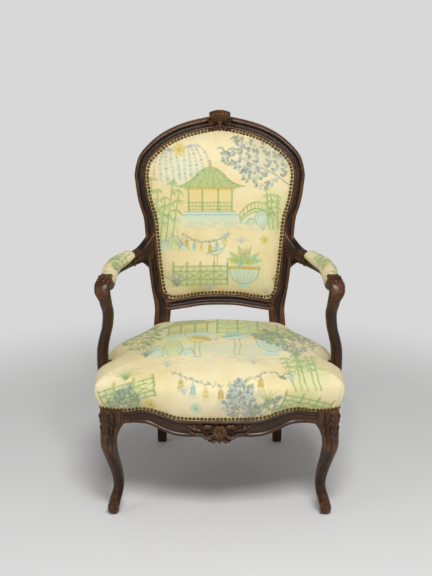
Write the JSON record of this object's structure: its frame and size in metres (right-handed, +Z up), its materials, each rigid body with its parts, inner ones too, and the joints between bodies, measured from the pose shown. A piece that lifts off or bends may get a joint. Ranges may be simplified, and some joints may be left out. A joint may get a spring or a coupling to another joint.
{
  "type": "upholstered open armchair",
  "caption": "Open armchair with a moulded and carved show-wood frame, cabriole legs, raked concave cartouche back, padded arms and nailed printed-cloth seat and back.",
  "frame": {"origin": "on the floor, under the middle of the chair's overall width and depth", "axes": "+Z up, +Y to the back of the chair, +X to the right as seen from the front"},
  "size_m": [0.6394, 0.6323, 0.954],
  "materials": {
    "show_wood": "satin",
    "raw_wood": "matte",
    "printed_cloth": "matte",
    "plain_cloth": "matte",
    "webbing": "matte",
    "hessian": "matte",
    "hair": "matte",
    "iron": "matte",
    "brass_nails": "satin"
  },
  "bodies": {
    "root": {"front_leg_left": "show_wood", "front_leg_right": "show_wood", "back_leg_left": "show_wood", "back_leg_right": "show_wood", "side_rail_left": "show_wood", "side_rail_right": "show_wood", "arm_support_left": "show_wood", "arm_support_right": "show_wood", "arm_left": "show_wood", "arm_right": "show_wood", "front_rail": "show_wood", "lower_back_rail": "show_wood", "crest_rail": "show_wood", "back_seat_rail": "show_wood", "corner_block_front_left": "raw_wood", "corner_block_front_right": "raw_wood", "corner_block_rear_left": "raw_wood", "corner_block_rear_right": "raw_wood", "joint_pegs": "raw_wood", "frame_screws": "iron", "seat_webbing_long": "webbing", "seat_webbing_cross": "webbing", "back_webbing": "webbing", "seat_hessian": "hessian", "seat_stuffing": "hair", "back_stuffing": "hair", "seat_cover": "printed_cloth", "back_cover_front": "printed_cloth", "back_cover_rear": "plain_cloth", "arm_pad_left": "hair", "arm_pad_cover_left": "printed_cloth", "arm_pad_right": "hair", "arm_pad_cover_right": "printed_cloth"}
  },
  "joints": []
}
